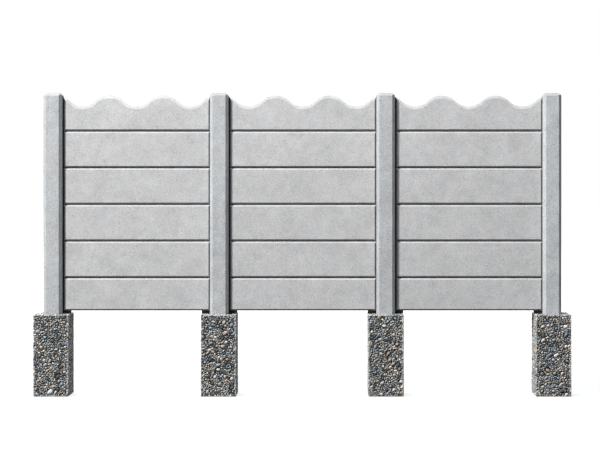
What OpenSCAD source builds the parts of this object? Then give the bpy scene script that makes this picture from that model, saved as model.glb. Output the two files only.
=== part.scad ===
// Precast concrete boundary wall: square posts stand in footing blocks, and panels
// with thin tongues are stacked between them, each bay closed by a wave-topped panel.
// The bottom panels lie on mortar beds on the footings.
// The run lies along X, its front faces -Y, and Z = 0 is the underside of the footings.

/* [Run] */
// Number of bays between posts
bays = 3; // [1:1:6]
// Distance between the centres of neighbouring posts
bay_pitch = 1360; // [1000:10:2200]

/* [Footings] */
// Side of the square footing block
footing_w = 290; // [220:10:500]
// Height of the footing block
footing_h = 665; // [400:5:1000]
// Thickness of concrete left under the foot of a post
foot_cover = 160; // [80:10:300]

/* [Posts] */
// Side of the square post
post_w = 150; // [140:5:200]
// Width of the chamfer along the edges and the top of a post
post_chamfer = 22; // [5:1:35]
// Height of the post top above the wave crests
post_rise = 20; // [0:5:100]
// Width of the slot that takes the panel tongues
slot_w = 22; // [20:1:40]
// Depth of that slot into the side of the post
slot_d = 40; // [32:1:55]

/* [Plain panels] */
// Thickness of a panel
panel_t = 50; // [46:1:70]
// Width of the chamfer round each face of a panel
panel_chamfer = 12; // [8:1:16]
// Height of a plain panel
course_h = 300; // [200:10:400]
// Height of the bottom panel
bottom_h = 265; // [150:5:400]
// Number of plain panels in a bay, with the bottom one
plain_courses = 5; // [2:1:6]
// Gap at the left end of a panel, between its body and the post
left_gap = 10; // [0:1:12]
// Gap at the right end
right_gap = 2; // [0:1:12]
// Length of the tongue that goes into a slot
tongue_l = 30; // [15:1:30]
// Thickness of that tongue
tongue_t = 14; // [10:1:14]
// Thickness of the rib on the lower edge of a panel that stands on another
rib_t = 8; // [6:1:12]
// Height of that rib, which leaves a shadow gap along the joint
rib_h = 6; // [2:1:10]

/* [Mortar beds] */
// Thickness of the mortar between a footing's top and the bottom panel
bed_h = 25; // [10:5:100]
// Width of a mortar bed across the wall
bed_w = 24; // [16:1:40]

/* [Wave panels] */
// Height from the panel's lower edge to its wave crests
crest_h = 295; // [240:5:400]
// Height from a trough to a crest
wave_rise = 90; // [20:5:120]
// Length of one full wave
wave_pitch = 440; // [300:10:600]
// Height of the chamfer that follows the wave
wave_chamfer = 22; // [8:1:30]
// Number of straight steps in one full wave
wave_steps = 24; // [12:4:36]

/* [Hidden] */
edge_t = panel_t - 2 * panel_chamfer;
clear_w = bay_pitch - post_w;
body_l = clear_w - left_gap - right_gap;
panel_l = clear_w + 2 * tongue_l;
ledge_z = footing_h + bed_h;
wave_z = ledge_z + bottom_h + (plain_courses - 1) * course_h;
post_top_z = wave_z + crest_h + post_rise;

// A wave is made of equal arcs that meet tangent to each other at half height.
arc_span = wave_pitch / 4;
arc_rise = wave_rise / 2;
arc_r = (arc_span ^ 2 + arc_rise ^ 2) / (2 * arc_rise);

post_color = [0.76, 0.77, 0.78];
panel_color = [0.80, 0.80, 0.80];
footing_color = [0.45, 0.45, 0.44];
mortar_color = [0.30, 0.30, 0.29];
// Cutters run past the faces that they open
overcut = 1;

function post_x(i) = (i - bays / 2) * bay_pitch;
function bay_x(i) = (i + 0.5 - bays / 2) * bay_pitch;
function course_z(k) = k == 0 ? ledge_z : ledge_z + bottom_h + (k - 1) * course_h;
function course_height(k) = k == 0 ? bottom_h : course_h;

function footing_name(i) = str("footing_", i + 1);
function post_name(i) = str("post_", i + 1);
function plain_name(i, k) = str("bay_", i + 1, k == 0 ? "_bottom_panel" : str("_panel_", k + 1));
function wave_name(i) = str("bay_", i + 1, "_wave_panel");
function bed_name(i, side) = str("bay_", i + 1, side < 0 ? "_left_bed" : "_right_bed");

// Height of the wave's top edge above the panel's lower edge, at x from the middle
// of the bay. Arcs alternate between troughs (even) and crests (odd).
function wave_top(x) =
    let (arc = round(x / (2 * arc_span)),
         off = x - 2 * arc_span * arc,
         bulge = sqrt(arc_r ^ 2 - off ^ 2) - arc_r + arc_rise)
    crest_h - arc_rise + (arc % 2 == 0 ? -bulge : bulge);

// Rectangle of w by d, centred, with its four corners cut at 45 degrees
module cut_rect(w, d, c) {
    x = w / 2;
    y = d / 2;
    polygon([[c - x, -y], [x - c, -y], [x, c - y], [x, y - c], [x - c, y], [c - x, y], [-x, y - c], [-x, c - y]]);
}

// Stands an outline drawn in X and Y up in X and Z, and gives it depth d along Y
module upright(d) {
    rotate([90, 0, 0]) linear_extrude(d, center = true) children();
}

// The foot of a post fills the pocket, so both have this outline
module post_section() {
    cut_rect(post_w, post_w, post_chamfer);
}

module footing(i) {
    color(footing_color) translate([post_x(i), 0, 0]) difference() {
        translate([-footing_w / 2, -footing_w / 2, 0]) cube([footing_w, footing_w, footing_h]);
        translate([0, 0, foot_cover]) linear_extrude(footing_h) post_section();
    }
}

// Post with chamfered edges, mitred to the chamfers round its top
module post_body() {
    intersection() {
        translate([0, 0, foot_cover]) linear_extrude(post_top_z - foot_cover) post_section();
        upright(post_w) cut_rect(post_w, 2 * post_top_z, post_chamfer);
        rotate(90) upright(post_w) cut_rect(post_w, 2 * post_top_z, post_chamfer);
    }
}

// Slot in one side of a post, from the level of the bottom panel to the top
module post_slot(side) {
    translate([side * post_w / 2, 0, ledge_z])
        translate([side > 0 ? -slot_d : -overcut, -slot_w / 2, 0])
            cube([slot_d + overcut, slot_w, post_top_z - ledge_z + overcut]);
}

module post(i) {
    color(post_color) translate([post_x(i), 0, 0]) difference() {
        post_body();
        if (i > 0) post_slot(-1);
        if (i < bays) post_slot(1);
    }
}

// Mortar on a footing's top, between the post and the footing's edge, at one end of bay i
module bed(i, side) {
    bed_l = (footing_w - post_w) / 2;
    inner_x = clear_w / 2 - bed_l;
    color(mortar_color) translate([bay_x(i) + (side < 0 ? -clear_w / 2 : inner_x), -bed_w / 2, footing_h])
        cube([bed_l, bed_w, bed_h]);
}

// Outline of a panel seen from above: chamfered faces and a tongue at each end
module panel_plan() {
    translate([(left_gap - right_gap) / 2, 0]) cut_rect(body_l, panel_t, panel_chamfer);
    square([panel_l, tongue_t], center = true);
}

// Cross-section of a plain panel h high, whose chamfered faces begin at height foot.
// Below that there is only the rib.
module plain_section(h, foot) {
    translate([0, (h + foot) / 2]) cut_rect(panel_t, h - foot, panel_chamfer);
    translate([-rib_t / 2, 0]) square([rib_t, h / 2]);
}

module plain_panel(i, k) {
    h = course_height(k);
    color(panel_color) translate([bay_x(i), 0, course_z(k)]) intersection() {
        linear_extrude(h) panel_plan();
        rotate(90) upright(panel_l) plain_section(h, k == 0 ? 0 : rib_h);
    }
}

// Cross-section of a wave panel where its top edge is h above its lower edge, going
// round from the front of the lower edge
function wave_section(h) = [
    [-rib_t / 2, 0],
    [rib_t / 2, 0],
    [rib_t / 2, rib_h],
    [edge_t / 2, rib_h],
    [panel_t / 2, rib_h + panel_chamfer],
    [panel_t / 2, h - wave_chamfer],
    [edge_t / 2, h],
    [-edge_t / 2, h],
    [-panel_t / 2, h - wave_chamfer],
    [-panel_t / 2, rib_h + panel_chamfer],
    [-edge_t / 2, rib_h],
    [-rib_t / 2, rib_h]
];

// Solid through a row of cross-sections that follow the wave, past both panel ends
module wave_loft() {
    step = wave_pitch / wave_steps;
    reach = ceil((panel_l / 2 + overcut) / step);
    rings = [for (s = [-reach:reach]) [for (p = wave_section(wave_top(s * step))) [s * step, p.x, p.y]]];
    n = len(rings[0]);
    sides = [for (s = [0:2 * reach - 1]) for (j = [0:n - 1])
        [s * n + j, (s + 1) * n + j, (s + 1) * n + (j + 1) % n, s * n + (j + 1) % n]];
    start_cap = [for (j = [0:n - 1]) j];
    end_cap = [for (j = [n - 1:-1:0]) 2 * reach * n + j];
    polyhedron([for (ring = rings) each ring], concat(sides, [start_cap, end_cap]));
}

module wave_panel(i) {
    color(panel_color) translate([bay_x(i), 0, wave_z]) intersection() {
        linear_extrude(crest_h) panel_plan();
        wave_loft();
    }
}

for (i = [0:bays]) {
    footing(i);
    post(i);
}
for (i = [0:bays - 1]) {
    for (k = [0:plain_courses - 1])
        plain_panel(i, k);
    wave_panel(i);
    for (side = [-1, 1])
        bed(i, side);
}
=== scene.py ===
"""Looks of the precast concrete boundary wall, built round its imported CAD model.

Posts, panels and mortar beds keep their CAD forms, with rounded edges and a finish of cast
concrete. Each footing becomes a mortar block with separate stones in its sides and top.
"""

import math
from typing import NamedTuple

import bmesh
import bpy
import numpy as np
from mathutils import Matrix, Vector


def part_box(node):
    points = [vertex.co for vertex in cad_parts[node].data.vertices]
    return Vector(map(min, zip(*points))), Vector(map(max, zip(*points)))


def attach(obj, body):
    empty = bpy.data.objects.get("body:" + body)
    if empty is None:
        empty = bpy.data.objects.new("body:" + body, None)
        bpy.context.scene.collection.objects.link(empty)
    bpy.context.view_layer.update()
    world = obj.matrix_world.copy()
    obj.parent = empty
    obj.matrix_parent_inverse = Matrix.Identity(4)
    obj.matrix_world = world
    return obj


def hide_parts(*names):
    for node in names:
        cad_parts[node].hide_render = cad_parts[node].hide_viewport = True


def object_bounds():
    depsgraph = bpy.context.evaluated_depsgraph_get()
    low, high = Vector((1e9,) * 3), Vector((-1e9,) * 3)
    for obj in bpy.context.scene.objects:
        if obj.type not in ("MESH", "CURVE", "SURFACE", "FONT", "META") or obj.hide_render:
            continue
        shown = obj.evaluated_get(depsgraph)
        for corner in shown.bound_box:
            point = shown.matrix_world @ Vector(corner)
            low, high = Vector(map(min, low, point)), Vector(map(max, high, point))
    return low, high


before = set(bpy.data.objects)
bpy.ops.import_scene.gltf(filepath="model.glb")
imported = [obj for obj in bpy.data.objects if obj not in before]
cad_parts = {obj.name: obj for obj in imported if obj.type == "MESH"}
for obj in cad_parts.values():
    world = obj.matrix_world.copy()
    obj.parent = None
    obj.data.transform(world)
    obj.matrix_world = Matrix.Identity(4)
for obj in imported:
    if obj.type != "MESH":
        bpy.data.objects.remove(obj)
cad_low, cad_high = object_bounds()

NODES = sorted(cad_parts)
FOOTINGS = [n for n in NODES if n.startswith("footing")]
POSTS = [n for n in NODES if n.startswith("post")]
PANELS = [n for n in NODES if "panel" in n]
BEDS = [n for n in NODES if n.endswith("_bed")]


class Pattern(NamedTuple):
    """A noise pattern of a material."""

    scale: float  # noise cells in a metre
    detail: float
    roughness: float
    contrast: float = 0.0  # how much of the tone changes with it


SEED = 7
WHITE = (1.0, 1.0, 1.0, 1.0)

# Every length is in metres, unless its comment says otherwise.

# Castings
ARRIS = 0.0025  # rounding of their edges
ARRIS_STEPS = 2
ARRIS_ANGLE = math.radians(20)  # edges that turn by more than this are rounded
FLAT_ANGLE = math.radians(0.5)  # faces that turn by less than this are one face
FACE_WEIGHT = 100  # how much the large faces decide the shading, at most 100
SAME_PLACE = 1e-5  # corners nearer than this to each other are one corner
CAST_REACH = 40.0  # how far each casting's patterns may be moved, either way

# Concrete
POST_COLOR = (0.572, 0.582, 0.593)
POST_CONTRAST = 1.25  # of the posts' grain, which is coarser than the panels'
POST_SHADES = (0.99, 0.97, 0.94, 1.04)  # of the castings from left to right
PANEL_COLOR = (0.620, 0.613, 0.616)
# The beds lie in the joints, where painted shade makes them nearly black
BED_COLOR = (0.20, 0.19, 0.175)
TINTS = ((0.982, 1.0, 1.018), (1.018, 1.0, 0.982))  # of the coolest and the warmest concrete
CLOUDS = Pattern(5.0, 3.0, 0.55, 0.30)
BLOTCHES = Pattern(14.0, 4.0, 0.62, 0.36)
GRAIN = Pattern(120.0, 3.0, 0.75, 1.30)
WARMTH = Pattern(11.0, 7.0, 0.65)
WARMTH_OFFSET = (7.0, 3.0, 5.0)  # keeps the warm patches apart from the clouds
WARMTH_RANGE = (0.25, 0.75)  # of its noise, from the coolest tint to the warmest
NOISE_RANGE = (0.3, 0.7)  # holds most of a noise pattern's values
PATTERN_TURN = (0.6, 0.9, 0.4)  # radians about x, y and z: no face lies along a pattern's grid
GRAIN_RELIEF = 0.0010
BLOTCH_RELIEF = 0.0012
RELIEF_STRENGTH = 0.6
CONCRETE_ROUGHNESS = (0.80, 0.92)
CONCRETE_SPECULAR = 0.35

# Air holes: space is divided into cells, and some have a hole. Radii are in cells.
HOLE_CELLS = 50.0  # in a metre
HOLE_LIMIT = 0.70  # cells whose random number is above this have a hole
HOLE_FLOOR = 0.06  # radius of a hole's flat bottom
HOLE_RADIUS = 0.09  # of the smallest hole
HOLE_GROWTH = 0.18  # what the largest one has on top of that
HOLE_SHADE = 0.62  # painted shade: part of the light that a hole takes
HOLE_DEPTH = 0.0020

# Painted shade and light: each kind's part of the light that it takes or adds
JOINT_SHADE = 0.97  # painted shade deep in the joints and slots
FLAT_SHADE = 0.35  # painted shade on level tops, which holds down their highlights
UNDER_SHADE = 0.48  # painted shade on slopes that face downward
END_SHADE = 0.62  # painted shade on the slopes at a panel's ends, beside the posts
LEFT_SLOPE_SHADE = 0.20  # painted shade on upper slopes that face left
RIGHT_SLOPE_LIGHT = 0.06  # painted highlight: part of the light that it adds on those that face right

# Where the painted shade and light lie: each fades in while the surface normal goes from one
# value to the other
FLAT_RANGE = (0.66, 0.90)  # of z
UNDER_RANGE = (-0.2, -0.45)  # of z
UPPER_RANGE = (0.15, 0.3)  # of z
SLOPE_SIDE_RANGE = (-0.3, 0.3)  # of x, from the painted shade on the left to the painted highlight on the right
END_RANGE = (0.3, 0.6)  # of x less z, both without their signs
JOINT_HALF = 0.0125  # a corner nearer than this to the wall's middle plane is in a joint
JOINT_END = 0.041  # this near a wave panel's ends and foot, its edges are in slots and joints

# Mortar of the footings
# Nearly black: the mortar's own dark grey, with painted shade of the crevices between the
# stones
MORTAR_AND_SHADE_COLOR = (0.027, 0.026, 0.024)
LUMPS = Pattern(160.0, 4.0, 0.7, 1.6)
STAINS = Pattern(12.0, 2.0, 0.5, 0.6)
LUMP_RELIEF = 0.004
MORTAR_ROUGHNESS = 0.95
MORTAR_DEPTH = 0.009  # of the mortar behind the block's faces
ON_FACE = 1e-4  # a corner nearer than this to a face of the block lies on it

# Looks of the gravel
SPECKS = Pattern(420.0, 3.0, 0.7, 1.6)
VEINS = Pattern(150.0, 3.0, 0.6, 2.4)
SPECK_RELIEF = 0.0015
STONE_ROUGHNESS = (0.55, 0.80)
STONE_COLORS = (
    (0.300, 0.372, 0.432),
    (0.088, 0.098, 0.107),
    (0.405, 0.390, 0.368),
    (0.510, 0.430, 0.355),
    (0.720, 0.610, 0.500),
    (0.760, 0.740, 0.705),
    (0.665, 0.650, 0.625),
)
STONE_SHARES = (0.21, 0.17, 0.21, 0.14, 0.08, 0.08, 0.11)
SMALL_STONE = 0.008
STONE_SPREAD = 0.25  # of a stone's lightness, either way
SMALL_SPREAD = 0.45  # the same for small ones

# Places of the stones: a mix has radii, and how many stones of each at most
SIDE_MIX = (
    (0.023, 14),
    (0.019, 40),
    (0.015, 110),
    (0.011, 320),
    (0.0080, 900),
    (0.0058, 2000),
    (0.0042, 3400),
)
TOP_MIX = (
    (0.014, 14),
    (0.011, 30),
    (0.0080, 60),
    (0.0058, 120),
    (0.0042, 200),
)
CELL = 0.002  # of the map on which stones are placed
OPEN_ROOM = 1.0  # in an empty map, further than any stone reaches
PACKING = 0.90  # part of its radius that a stone keeps clear
EDGE_STEP = 0.012  # between the stones along the block's edges
EDGE_STONE = (0.008, 0.011)  # their radii

# Shapes of the stones
PEBBLE_SIDES = 6
PEBBLE_TILTS = (0.62, 1.35)  # of a pebble's two rings from its outer pole, in radians
PEBBLE_ROUGH = 0.28  # part of its radius by which a corner may be out, either way
LONG_BY = (1.0, 1.55)  # length of a pebble, in radii
THICKNESS = (0.60, 0.90)  # the same outward
OUT_SPREAD = 0.35  # of the directions in which stones point outward
LIE = math.radians(35)  # most long stones in a side lie about this steep
LIE_SPREAD = 0.55  # of the directions in which they lie
SUNK_MOST = 0.0015  # of a stone's face behind the block's
SEAT_GAP = 0.0005  # under the lowest stones, where the block stands on its mortar

# Far lamps: 1 is the strength that renders a colour as it is written, and angles are in degrees
LAMP_DISTANCE = 30.0
LAMP_SIZE = 2.1
KEY_STRENGTH = 1.27
KEY_AZIMUTH = 48.5
KEY_ELEVATION = 46
BACK_STRENGTH = 0.70
BACK_AZIMUTH = 160
BACK_ELEVATION = 42

# Soft strip above the front
SOFT_POWER = 28.0  # watts
SOFT_PLACE = (-1.2, -1.8, 4.2)
SOFT_SIZE = (7.0, 0.8)
SOFT_TARGET = (-1.0, 0.0, 1.5)

# Sky
SKY_ALL = 0.02  # strength at the horizon and below it
SKY_ABOVE = 0.53  # what it has on top of that straight above
SKY_COLOR = (0.79, 0.91, 1.0)

# Floor
FLOOR_REACH = 120.0
FLOOR_DROP = 0.0005  # below the footings
FLOOR_COLOR = (0.22, 0.22, 0.22)  # that the camera sees
FLOOR_GLOW = 0.83  # which makes the floor white where it is lit
FLOOR_FADE = (3.0, 12.0)  # where the floor turns into the white background
FLOOR_BOUNCE = (0.10, 0.095, 0.085)  # colour of the floor in the light that it sends back up

# Camera
LENS = 101.0  # millimetres, as is the sensor
SENSOR = 36.0
LENS_SHIFT = (-0.0424, -0.0842)
CAMERA_PLACE = (0.188, -13.8, 1.7014)
CLIP_END = 500.0


# ---------------------------------------------------------------- node helpers


class Shader:
    """The node tree of a material or a world, with one short call for each kind of node."""

    def __init__(self, owner):
        owner.use_nodes = True
        self.tree = owner.node_tree
        self.tree.nodes.clear()

    def add(self, kind, inputs=None, **settings):
        """Adds a node; inputs gives a value or a socket for each input's name or number."""
        node = self.tree.nodes.new("ShaderNode" + kind)
        for key, value in settings.items():
            setattr(node, key, value)
        for key, value in (inputs or {}).items():
            if isinstance(value, bpy.types.NodeSocket):
                self.tree.links.new(value, node.inputs[key])
            else:
                node.inputs[key].default_value = value
        return node

    def stored(self, name, output):
        """What the mesh stores under this name; output is Fac, Vector or Color."""
        node = self.add("Attribute", attribute_name=name, attribute_type="GEOMETRY")
        return node.outputs[output]

    def math(self, operation, a, b=0.0, c=0.0):
        return self.add("Math", {0: a, 1: b, 2: c}, operation=operation).outputs[0]

    def times(self, a, b):
        return self.math("MULTIPLY", a, b)

    def shift(self, place, offset):
        return self.add("VectorMath", {0: place, 1: offset}, operation="ADD").outputs[0]

    def scaled(self, color, factor):
        keys = {"Vector": color, "Scale": factor}
        return self.add("VectorMath", keys, operation="SCALE").outputs[0]

    def mixed(self, factor, first, second):
        """A colour between two; 6, 7 and 2 are the colour sockets of a Mix node."""
        return self.add("Mix", {0: factor, 6: first, 7: second}, data_type="RGBA").outputs[2]

    def remap(self, value, low, high, to_low=0.0, to_high=1.0):
        """Takes value from low..high to to_low..to_high, and clamps it there."""
        keys = {
            "Value": value,
            "From Min": low,
            "From Max": high,
            "To Min": to_low,
            "To Max": to_high,
        }
        return self.add("MapRange", keys).outputs[0]

    def noise(self, place, pattern):
        keys = {
            "Vector": place,
            "Scale": pattern.scale,
            "Detail": pattern.detail,
            "Roughness": pattern.roughness,
        }
        return self.add("TexNoise", keys).outputs[0]

    def wave(self, noise, pattern):
        """A noise value of 0 to 1 as a change of the tone, half of the contrast either way."""
        return self.math("MULTIPLY_ADD", noise, pattern.contrast, -pattern.contrast / 2)

    def sum(self, first, *others):
        for other in others:
            first = self.math("ADD", first, other)
        return first

    def relief(self, height, strength=1.0):
        """The bent normal of a surface with this height."""
        keys = {"Height": height, "Strength": strength, "Distance": 1.0}
        return self.add("Bump", keys).outputs[0]

    def seen(self):
        """1 where the camera looks straight at it, in a mirror or through glass."""
        path = self.add("LightPath").outputs
        direct = self.math("MAXIMUM", path["Is Camera Ray"], path["Is Glossy Ray"])
        return self.math("MAXIMUM", direct, path["Is Transmission Ray"])

    def finish(self, surface, kind="Material"):
        self.tree.links.new(surface, self.add("Output" + kind).inputs["Surface"])

    def paint(self, inputs):
        """Finishes a material as a Principled surface with these inputs."""
        self.finish(self.add("BsdfPrincipled", inputs).outputs[0])


def new_material(name):
    material = bpy.data.materials.new(name)
    return material, Shader(material)


# ---------------------------------------------------------------- materials


def own_place(s):
    """Coordinates that differ from piece to piece, because each is cast by itself."""
    keys = {
        "Vector": s.add("TexCoord").outputs["Object"],
        "Location": s.stored("cast", "Vector"),
        "Rotation": PATTERN_TURN,
    }
    return s.add("Mapping", keys).outputs[0]


def kept(s, value, span, painted_shade):
    """The part of the light that a painted shade leaves, which fades in as value goes through
    span.
    """
    return s.remap(value, *span, 1.0, 1.0 - painted_shade)


def painted_shade_and_light(s, end_shade):
    """The part of the light left by all painted shade and painted highlight, by how deep and
    which way a surface lies.
    """
    normal = s.add("SeparateXYZ", {0: s.add("NewGeometry").outputs["Normal"]}).outputs
    sideways = s.math("ABSOLUTE", normal["X"])
    endways = s.math("SUBTRACT", sideways, s.math("ABSOLUTE", normal["Z"]))
    # Painted highlight on upper slopes that face right, and painted shade on those that face
    # left
    side_light = s.remap(normal["X"], *SLOPE_SIDE_RANGE, -LEFT_SLOPE_SHADE, RIGHT_SLOPE_LIGHT)
    side_light = s.math("MULTIPLY_ADD", side_light, s.remap(normal["Z"], *UPPER_RANGE), 1.0)
    # Painted shade deep in the joints and slots
    part = s.math("MULTIPLY_ADD", s.stored("joint", "Fac"), -JOINT_SHADE, 1.0)
    part = s.times(part, side_light)
    # Painted shade on level tops, which holds down their highlights
    part = s.times(part, kept(s, normal["Z"], FLAT_RANGE, FLAT_SHADE))
    # Painted shade on slopes that face downward
    part = s.times(part, kept(s, normal["Z"], UNDER_RANGE, UNDER_SHADE))
    # Painted shade on the slopes at a panel's ends, beside the posts
    return s.times(part, kept(s, endways, END_RANGE, end_shade))


def air_holes(s, place):
    """1 in the middle of each air hole, and 0 on the plain surface."""
    cells = s.add("TexVoronoi", {"Vector": place, "Scale": HOLE_CELLS})
    kind = s.add("SeparateColor", {0: cells.outputs["Color"]}).outputs
    some = s.math("GREATER_THAN", kind[0], HOLE_LIMIT)
    radius = s.math("MULTIPLY_ADD", kind[1], HOLE_GROWTH, HOLE_RADIUS)
    return s.times(some, s.remap(cells.outputs["Distance"], HOLE_FLOOR, radius, 1.0, 0.0))


def concrete(name, color, contrast=1.0, end_shade=0.0):
    """Smooth cast concrete: faint clouds, fine grain, a few small air holes with painted shade,
    and painted shade and highlights.
    """
    material, s = new_material(name)
    place = own_place(s)
    clouds = s.noise(place, CLOUDS)
    blotches = s.noise(place, BLOTCHES)
    grain = s.noise(place, GRAIN)
    hole = air_holes(s, place)

    tone = s.sum(s.wave(clouds, CLOUDS), s.wave(blotches, BLOTCHES), s.wave(grain, GRAIN))
    tone = s.math("MULTIPLY_ADD", tone, contrast, 1.0)
    tone = s.times(tone, s.stored("shade", "Fac"))
    # Painted shade in the air holes
    tone = s.times(tone, s.math("MULTIPLY_ADD", hole, -HOLE_SHADE * contrast, 1.0))
    # Painted shade and painted highlight, by depth and by which way the surface faces
    tone = s.times(tone, painted_shade_and_light(s, end_shade))

    height = s.sum(s.times(grain, GRAIN_RELIEF), s.times(blotches, BLOTCH_RELIEF))
    height = s.math("MULTIPLY_ADD", hole, -HOLE_DEPTH, height)

    warmth = s.noise(s.shift(place, WARMTH_OFFSET), WARMTH)
    cool, warm = [(*(c * t for c, t in zip(color, tint)), 1.0) for tint in TINTS]
    hue = s.mixed(s.remap(warmth, *WARMTH_RANGE), cool, warm)
    s.paint({
        "Base Color": s.scaled(hue, tone),
        "Roughness": s.remap(grain, *NOISE_RANGE, *CONCRETE_ROUGHNESS),
        "Normal": s.relief(height, RELIEF_STRENGTH),
        "Specular IOR Level": CONCRETE_SPECULAR,
    })
    return material


def mortar():
    """The rough cement between the stones of a footing, its dark grey deepened by painted shade
    of the crevices.
    """
    material, s = new_material("footing_mortar")
    place = own_place(s)
    lumps = s.noise(place, LUMPS)
    stains = s.noise(place, STAINS)
    tone = s.sum(1.0, s.wave(lumps, LUMPS), s.wave(stains, STAINS))
    s.paint({
        "Base Color": s.scaled(MORTAR_AND_SHADE_COLOR, tone),
        "Roughness": MORTAR_ROUGHNESS,
        "Normal": s.relief(s.times(lumps, LUMP_RELIEF)),
    })
    return material


def gravel():
    """Stones of a footing, each in its own colour with a fine mottle."""
    material, s = new_material("footing_gravel")
    place = own_place(s)
    specks = s.noise(place, SPECKS)
    veins = s.noise(place, VEINS)
    tone = s.sum(1.0, s.wave(specks, SPECKS), s.wave(veins, VEINS))
    s.paint({
        "Base Color": s.scaled(s.stored("stone", "Color"), tone),
        "Roughness": s.remap(specks, *NOISE_RANGE, *STONE_ROUGHNESS),
        "Normal": s.relief(s.times(specks, SPECK_RELIEF)),
    })
    return material


def plain_floor():
    """A pale floor that looks white to the camera where it is lit and keeps the shadow."""
    material, s = new_material("floor")
    soft = s.add("BsdfDiffuse", {"Color": (*FLOOR_COLOR, 1.0)}).outputs[0]
    place = s.add("NewGeometry").outputs["Position"]
    away = s.add("VectorMath", {0: place}, operation="LENGTH").outputs["Value"]
    level = s.remap(away, *FLOOR_FADE, FLOOR_GLOW, 1.0)
    glow = s.add("Emission", {"Color": WHITE, "Strength": level}).outputs[0]
    shown = s.add("AddShader", {0: soft, 1: glow}).outputs[0]
    bounce = s.add("BsdfDiffuse", {"Color": (*FLOOR_BOUNCE, 1.0)}).outputs[0]
    s.finish(s.add("MixShader", {0: s.seen(), 1: bounce, 2: shown}).outputs[0])
    return material


# ---------------------------------------------------------------- pieces


def store(mesh, name, kind, values):
    """Stores a value for each corner of the mesh, which its material reads by the name."""
    key = {"FLOAT": "value", "FLOAT_VECTOR": "vector", "FLOAT_COLOR": "color"}[kind]
    mesh.attributes.new(name, kind, "POINT").data.foreach_set(key, values)


def add_piece(name, mesh, node, material, offset):
    """Links a mesh that stands for one CAD node; offset moves its patterns."""
    mesh.materials.clear()
    mesh.materials.append(material)
    store(mesh, "cast", "FLOAT_VECTOR", np.tile(offset, len(mesh.vertices)))
    piece = bpy.data.objects.new(name, mesh)
    bpy.context.scene.collection.objects.link(piece)
    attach(piece, "root")
    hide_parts(node)


def cad_shape(node):
    """The CAD node's mesh as a bmesh with its flat faces whole again."""
    bm = bmesh.new()
    bm.from_mesh(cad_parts[node].data)
    bmesh.ops.remove_doubles(bm, verts=bm.verts, dist=SAME_PLACE)
    bmesh.ops.dissolve_limit(bm, angle_limit=FLAT_ANGLE, verts=bm.verts, edges=bm.edges)
    bmesh.ops.connect_verts_concave(bm, faces=bm.faces)
    return bm


def to_mesh(bm, name):
    mesh = bpy.data.meshes.new(name)
    bm.to_mesh(mesh)
    bm.free()
    return mesh


def rounded(mesh):
    """A copy of the mesh with its sharp edges rounded as they come out of a mould."""
    mesh.shade_smooth()
    form = bpy.data.objects.new("form", mesh)
    bpy.context.scene.collection.objects.link(form)
    rounding = form.modifiers.new("arris", "BEVEL")
    rounding.width = ARRIS
    rounding.segments = ARRIS_STEPS
    rounding.limit_method = "ANGLE"
    rounding.angle_limit = ARRIS_ANGLE
    # Large faces keep their own normals, so that only the rounding looks round.
    form.modifiers.new("shading", "WEIGHTED_NORMAL").weight = FACE_WEIGHT
    done = form.evaluated_get(bpy.context.evaluated_depsgraph_get())
    shape = bpy.data.meshes.new_from_object(done)
    bpy.data.objects.remove(form)
    return shape


def in_joints(mesh, node):
    """1 for each corner deep in a joint or slot, where the material paints shade, and 0 for the
    rest.
    """
    low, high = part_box(node)
    place = np.empty(3 * len(mesh.vertices))
    mesh.vertices.foreach_get("co", place)
    x, y, z = place.reshape(-1, 3).T
    deep = np.abs(y) < JOINT_HALF
    # The top of a wave panel is in no joint, although it crosses the middle plane too.
    if node.endswith("wave_panel"):
        ends = (x < low.x + JOINT_END) | (x > high.x - JOINT_END)
        deep &= ends | (z < low.z + JOINT_END)
    return deep.astype(float)


def cast_piece(node, material, rng, shade=1.0):
    """A casting in the shape of its CAD node; shade makes it darker or lighter as a whole."""
    mesh = rounded(to_mesh(cad_shape(node), node))
    # Marks where the material paints shade in the joints and slots
    store(mesh, "joint", "FLOAT", in_joints(mesh, node))
    store(mesh, "shade", "FLOAT", np.full(len(mesh.vertices), shade))
    offset = rng.uniform(-CAST_REACH, CAST_REACH, 3)
    add_piece(node + "_cast", mesh, node, material, offset)


# ---------------------------------------------------------------- gravel footings


def pebble_form():
    """Corners of a ball of radius 1 with its poles on z, and its triangles."""
    corners = [(0.0, 0.0, 1.0)]
    for ring, tilt in enumerate(PEBBLE_TILTS):
        flat, up = math.sin(tilt), math.cos(tilt)
        for turn in range(PEBBLE_SIDES):
            angle = math.tau * (turn + ring / 2) / PEBBLE_SIDES
            corners.append((flat * math.cos(angle), flat * math.sin(angle), up))
    corners.append((0.0, 0.0, -1.0))
    last = len(corners) - 1
    faces = []
    # Two corners of the upper ring, a and b, and the two below them, c and d
    for turn in range(PEBBLE_SIDES):
        a, b = 1 + turn, 1 + (turn + 1) % PEBBLE_SIDES
        c, d = a + PEBBLE_SIDES, b + PEBBLE_SIDES
        faces += [(0, a, b), (a, c, b), (b, c, d), (c, last, d)]
    return np.array(corners), np.array(faces)


def take_room(room, u, v, radius, reach, wraps):
    """Lowers a map's room round a disc in its cell u, v, as many cells away as reach."""
    height, width = room.shape
    rows = np.arange(max(v - reach, 0), min(v + reach + 1, height))
    across = np.arange(-reach, reach + 1)
    if not wraps:
        across = across[(u + across >= 0) & (u + across < width)]
    near = np.ix_(rows, (u + across) % width)
    away = np.hypot(across[None], (rows - v)[:, None]) * CELL - radius
    room[near] = np.minimum(room[near], away)


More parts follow.
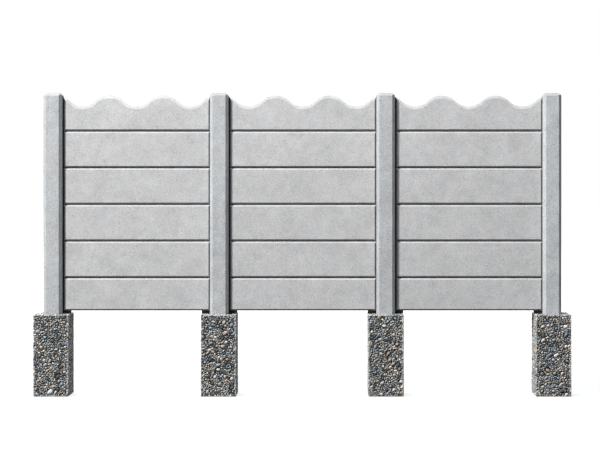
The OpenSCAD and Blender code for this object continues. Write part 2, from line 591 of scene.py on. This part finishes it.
def fill_gaps(room, mix, rng, wraps):
    """Packs discs into the free cells of a map, the largest first.

    room holds each cell's distance from what it has to keep off, in metres. Returns
    rows of u, v and radius. A map that wraps round joins its last column to its first.
    """
    width = room.shape[1]
    largest = mix[0][0]
    discs = []
    for radius, most in mix:
        for _ in range(most):
            free = np.flatnonzero(room >= radius * PACKING)
            if len(free) == 0:
                break
            v, u = divmod(int(rng.choice(free)), width)
            discs.append((u * CELL, v * CELL, radius))
            take_room(room, u, v, radius, int((radius + largest) / CELL) + 1, wraps)
    return np.array(discs)


def side_stones(size, rng):
    """The stones in the four sides: centres, directions outward and along, and radii."""
    width, height = size[0], size[2]
    # The map goes round the block, from the left edge of its front.
    round_trip = 4 * width
    room = np.full((int(height / CELL), int(round_trip / CELL)), OPEN_ROOM)
    u, v, radius = fill_gaps(room, SIDE_MIX, rng, wraps=True).T
    side = np.minimum((u / width).astype(int), 3)
    along = u - side * width - width / 2
    out = np.array([(0, -1, 0), (1, 0, 0), (0, 1, 0), (-1, 0, 0)], float)[side]
    tangent = np.array([(1, 0, 0), (0, 1, 0), (-1, 0, 0), (0, -1, 0)], float)[side]
    centre = out * width / 2 + tangent * along[:, None]
    centre[:, 2] = v
    lie = tangent * math.cos(LIE)
    lie[:, 2] = math.sin(LIE)
    return centre, out, lie, radius


def top_stones(size, hole, rng):
    """The same for the top, which leaves room for the post in its square hole."""
    width = size[0]
    cells = int(width / CELL)
    place = (np.arange(cells) + 0.5) * CELL - width / 2
    x, y = np.meshgrid(place, place)
    room = np.maximum(np.abs(x), np.abs(y)) - hole / 2
    u, v, radius = fill_gaps(room, TOP_MIX, rng, wraps=False).T
    centre = np.stack([u - width / 2, v - width / 2, np.full(len(u), size[2])], axis=1)
    return centre, np.tile((0.0, 0.0, 1.0), (len(u), 1)), np.zeros((len(u), 3)), radius


def edge_stones(size, rng):
    """The same for close rows along the upright and the top edges, which keep those sharp."""
    half, height = size[0] / 2, size[2]
    centre, out = [], []
    for sin, cos in ((0, 1), (1, 0), (0, -1), (-1, 0)):
        for z in np.arange(EDGE_STEP / 2, height, EDGE_STEP):
            centre.append((half * (cos - sin), half * (cos + sin), z))
            out.append((cos - sin, cos + sin, 0))
        for along in np.arange(EDGE_STEP - half, half, EDGE_STEP):
            centre.append((half * cos - along * sin, half * sin + along * cos, height))
            out.append((cos, sin, 1))
    out = np.array(out) / math.sqrt(2)
    return np.array(centre), out, np.zeros_like(out), rng.uniform(*EDGE_STONE, len(out))


def unit(rows):
    return rows / np.linalg.norm(rows, axis=1, keepdims=True)


def pebbles(form, out, lie, radius, rng):
    """Corners of each stone about its own middle, and how far it reaches outward."""
    count = len(radius)
    outward = unit(out + rng.normal(scale=OUT_SPREAD, size=(count, 3)))
    along = lie + rng.normal(scale=LIE_SPREAD, size=(count, 3))
    along = unit(along - outward * np.sum(along * outward, axis=1, keepdims=True))
    across = np.cross(outward, along)
    long_by = rng.uniform(*LONG_BY, count)
    thick = radius * rng.uniform(*THICKNESS, count)
    rough = 1 + rng.uniform(-PEBBLE_ROUGH, PEBBLE_ROUGH, (count, len(form)))
    # A longer stone is narrower across.
    spans = (
        along * (radius * long_by)[:, None],
        across * (radius / long_by**0.5)[:, None],
        outward * thick[:, None],
    )
    ball = form[None] * rough[:, :, None]
    return ball @ np.stack(spans, axis=1), thick


def settled(corners, centre, radius, thick, size, rng):
    """The stones moved to their centres and held inside the block, whose foot is round 0."""
    sunk = rng.uniform(0.0, SUNK_MOST, len(radius))
    sunk += np.where(radius < SMALL_STONE, SUNK_MOST, 0.0)
    depth = (thick + sunk)[:, None]
    half = np.array(size) / 2
    middle = np.array([0.0, 0.0, half[2]])
    centre = np.clip(centre, middle - half + depth, middle + half - depth)
    # A stone that would stick out is flat there, because it was cast against a board.
    limit = (half[None] - sunk[:, None])[:, None]
    corners = np.clip(corners + centre[:, None], middle - limit, middle + limit)
    corners[:, :, 2] = np.maximum(corners[:, :, 2], SEAT_GAP)
    return corners


def stone_colors(radius, rng):
    """A kind of stone for each, with its own lightness."""
    count = len(radius)
    kinds = rng.choice(len(STONE_COLORS), count, p=STONE_SHARES)
    spread = np.where(radius < SMALL_STONE, SMALL_SPREAD, STONE_SPREAD)
    light = 1 + (spread * rng.uniform(-1.0, 1.0, count))[:, None]
    return np.concatenate([np.array(STONE_COLORS)[kinds] * light, np.ones((count, 1))], axis=1)


def stone_mesh(name, low, size, parts, rng):
    """One mesh of all the stones in a footing."""
    centre, out, lie, radius = (np.concatenate(part) for part in zip(*parts))
    form, faces = pebble_form()
    corners, thick = pebbles(form, out, lie, radius, rng)
    corners = settled(corners, centre, radius, thick, size, rng)
    corners += np.array([low[0] + size[0] / 2, low[1] + size[1] / 2, low[2]])
    first_corner = np.arange(len(radius)) * len(form)
    triangles = (faces[None] + first_corner[:, None, None]).reshape(-1, 3)

    mesh = bpy.data.meshes.new(name)
    mesh.from_pydata(corners.reshape(-1, 3), [], triangles)
    mesh.shade_smooth()
    colors = np.repeat(stone_colors(radius, rng), len(form), axis=0)
    store(mesh, "stone", "FLOAT_COLOR", colors.ravel())
    return mesh


def mortar_mesh(node, low, high):
    """The footing's own shape with its sides and top drawn back behind the stones."""
    bm = cad_shape(node)
    for vert in bm.verts:
        for axis in (0, 1):
            for face, inward in ((low[axis], 1), (high[axis], -1)):
                if abs(vert.co[axis] - face) < ON_FACE:
                    vert.co[axis] += inward * MORTAR_DEPTH
        if abs(vert.co.z - high.z) < ON_FACE:
            vert.co.z -= MORTAR_DEPTH
    return to_mesh(bm, node + "_mortar")


def gravel_footing(node, post_width, materials, rng):
    """A footing's two pieces: its mortar and its stones."""
    low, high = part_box(node)
    size = high - low
    offset = rng.uniform(-CAST_REACH, CAST_REACH, 3)
    mortar_look, gravel_look = materials
    block = mortar_mesh(node, low, high)
    add_piece(node + "_mortar", block, node, mortar_look, offset)
    parts = [side_stones(size, rng), top_stones(size, post_width, rng), edge_stones(size, rng)]
    stones = stone_mesh(node + "_gravel", low, size, parts, rng)
    add_piece(node + "_gravel", stones, node, gravel_look, offset)


def build():
    rng = np.random.default_rng(SEED)
    post_look = concrete("post_concrete", POST_COLOR, contrast=POST_CONTRAST)
    panel_look = concrete("panel_concrete", PANEL_COLOR, end_shade=END_SHADE)
    footing_looks = (mortar(), gravel())
    bed_look = concrete("bed_mortar", BED_COLOR)
    post_low, post_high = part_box(POSTS[0])
    for i, node in enumerate(POSTS):
        cast_piece(node, post_look, rng, POST_SHADES[i % len(POST_SHADES)])
    for node in PANELS:
        cast_piece(node, panel_look, rng)
    # Painted shade in the joints makes these beds nearly black
    for node in BEDS:
        cast_piece(node, bed_look, rng)
    for node in FOOTINGS:
        gravel_footing(node, post_high.x - post_low.x, footing_looks, rng)


# ---------------------------------------------------------------- scene


def make_floor():
    reach = FLOOR_REACH
    corners = [(-reach, -reach, 0), (reach, -reach, 0), (reach, reach, 0), (-reach, reach, 0)]
    mesh = bpy.data.meshes.new("floor")
    mesh.from_pydata(corners, [], [(0, 1, 2, 3)])
    mesh.materials.append(plain_floor())
    floor = bpy.data.objects.new("floor", mesh)
    floor.location.z = -FLOOR_DROP
    bpy.context.scene.collection.objects.link(floor)


def make_world():
    """Soft light, mostly from above, behind a plain white background."""
    world = bpy.data.worlds.new("studio")
    bpy.context.scene.world = world
    s = Shader(world)
    way = s.add("SeparateXYZ", {0: s.add("TexCoord").outputs["Generated"]}).outputs
    strength = s.sum(SKY_ALL, s.remap(way["Z"], 0.0, 1.0, 0.0, SKY_ABOVE))
    light = s.add("Background", {"Color": (*SKY_COLOR, 1.0), "Strength": strength}).outputs[0]
    white = s.add("Background", {"Color": WHITE, "Strength": 1.0}).outputs[0]
    s.finish(s.add("MixShader", {0: s.seen(), 1: light, 2: white}).outputs[0], "World")


def from_front(azimuth, elevation, distance):
    """A place at this distance, seen from the wall's front: azimuth in degrees to the left."""
    turn, rise = math.radians(azimuth), math.radians(elevation)
    flat = distance * math.cos(rise)
    return (-flat * math.sin(turn), -flat * math.cos(turn), distance * math.sin(rise))


def make_lamp(name, power, place, size, target):
    """A soft rectangular light that faces its target."""
    data = bpy.data.lights.new(name, "AREA")
    data.shape = "RECTANGLE"
    data.size, data.size_y = size
    data.energy = power
    lamp = bpy.data.objects.new(name, data)
    lamp.location = place
    bpy.context.scene.collection.objects.link(lamp)
    lamp.rotation_euler = (Vector(target) - lamp.location).to_track_quat("-Z", "Y").to_euler()


def make_far_lamp(name, strength, azimuth, elevation):
    """A lamp far off, whose strength is 1 where it renders a colour as it is written."""
    middle = (cad_low + cad_high) / 2
    place = middle + Vector(from_front(azimuth, elevation, LAMP_DISTANCE))
    power = strength * (math.pi * LAMP_DISTANCE) ** 2
    make_lamp(name, power, place, (LAMP_SIZE, LAMP_SIZE), middle)


def make_camera():
    data = bpy.data.cameras.new("camera")
    data.lens = LENS
    data.sensor_width = SENSOR
    data.shift_x, data.shift_y = LENS_SHIFT
    data.clip_end = CLIP_END
    camera = bpy.data.objects.new("camera", data)
    camera.location = CAMERA_PLACE
    camera.rotation_euler = (math.radians(90), 0.0, 0.0)
    bpy.context.scene.collection.objects.link(camera)
    bpy.context.scene.camera = camera


build()
make_floor()
make_world()
make_far_lamp("key", KEY_STRENGTH, KEY_AZIMUTH, KEY_ELEVATION)
make_far_lamp("back", BACK_STRENGTH, BACK_AZIMUTH, BACK_ELEVATION)
make_lamp("soft", SOFT_POWER, SOFT_PLACE, SOFT_SIZE, SOFT_TARGET)
make_camera()
bpy.context.scene.view_settings.view_transform = "Standard"
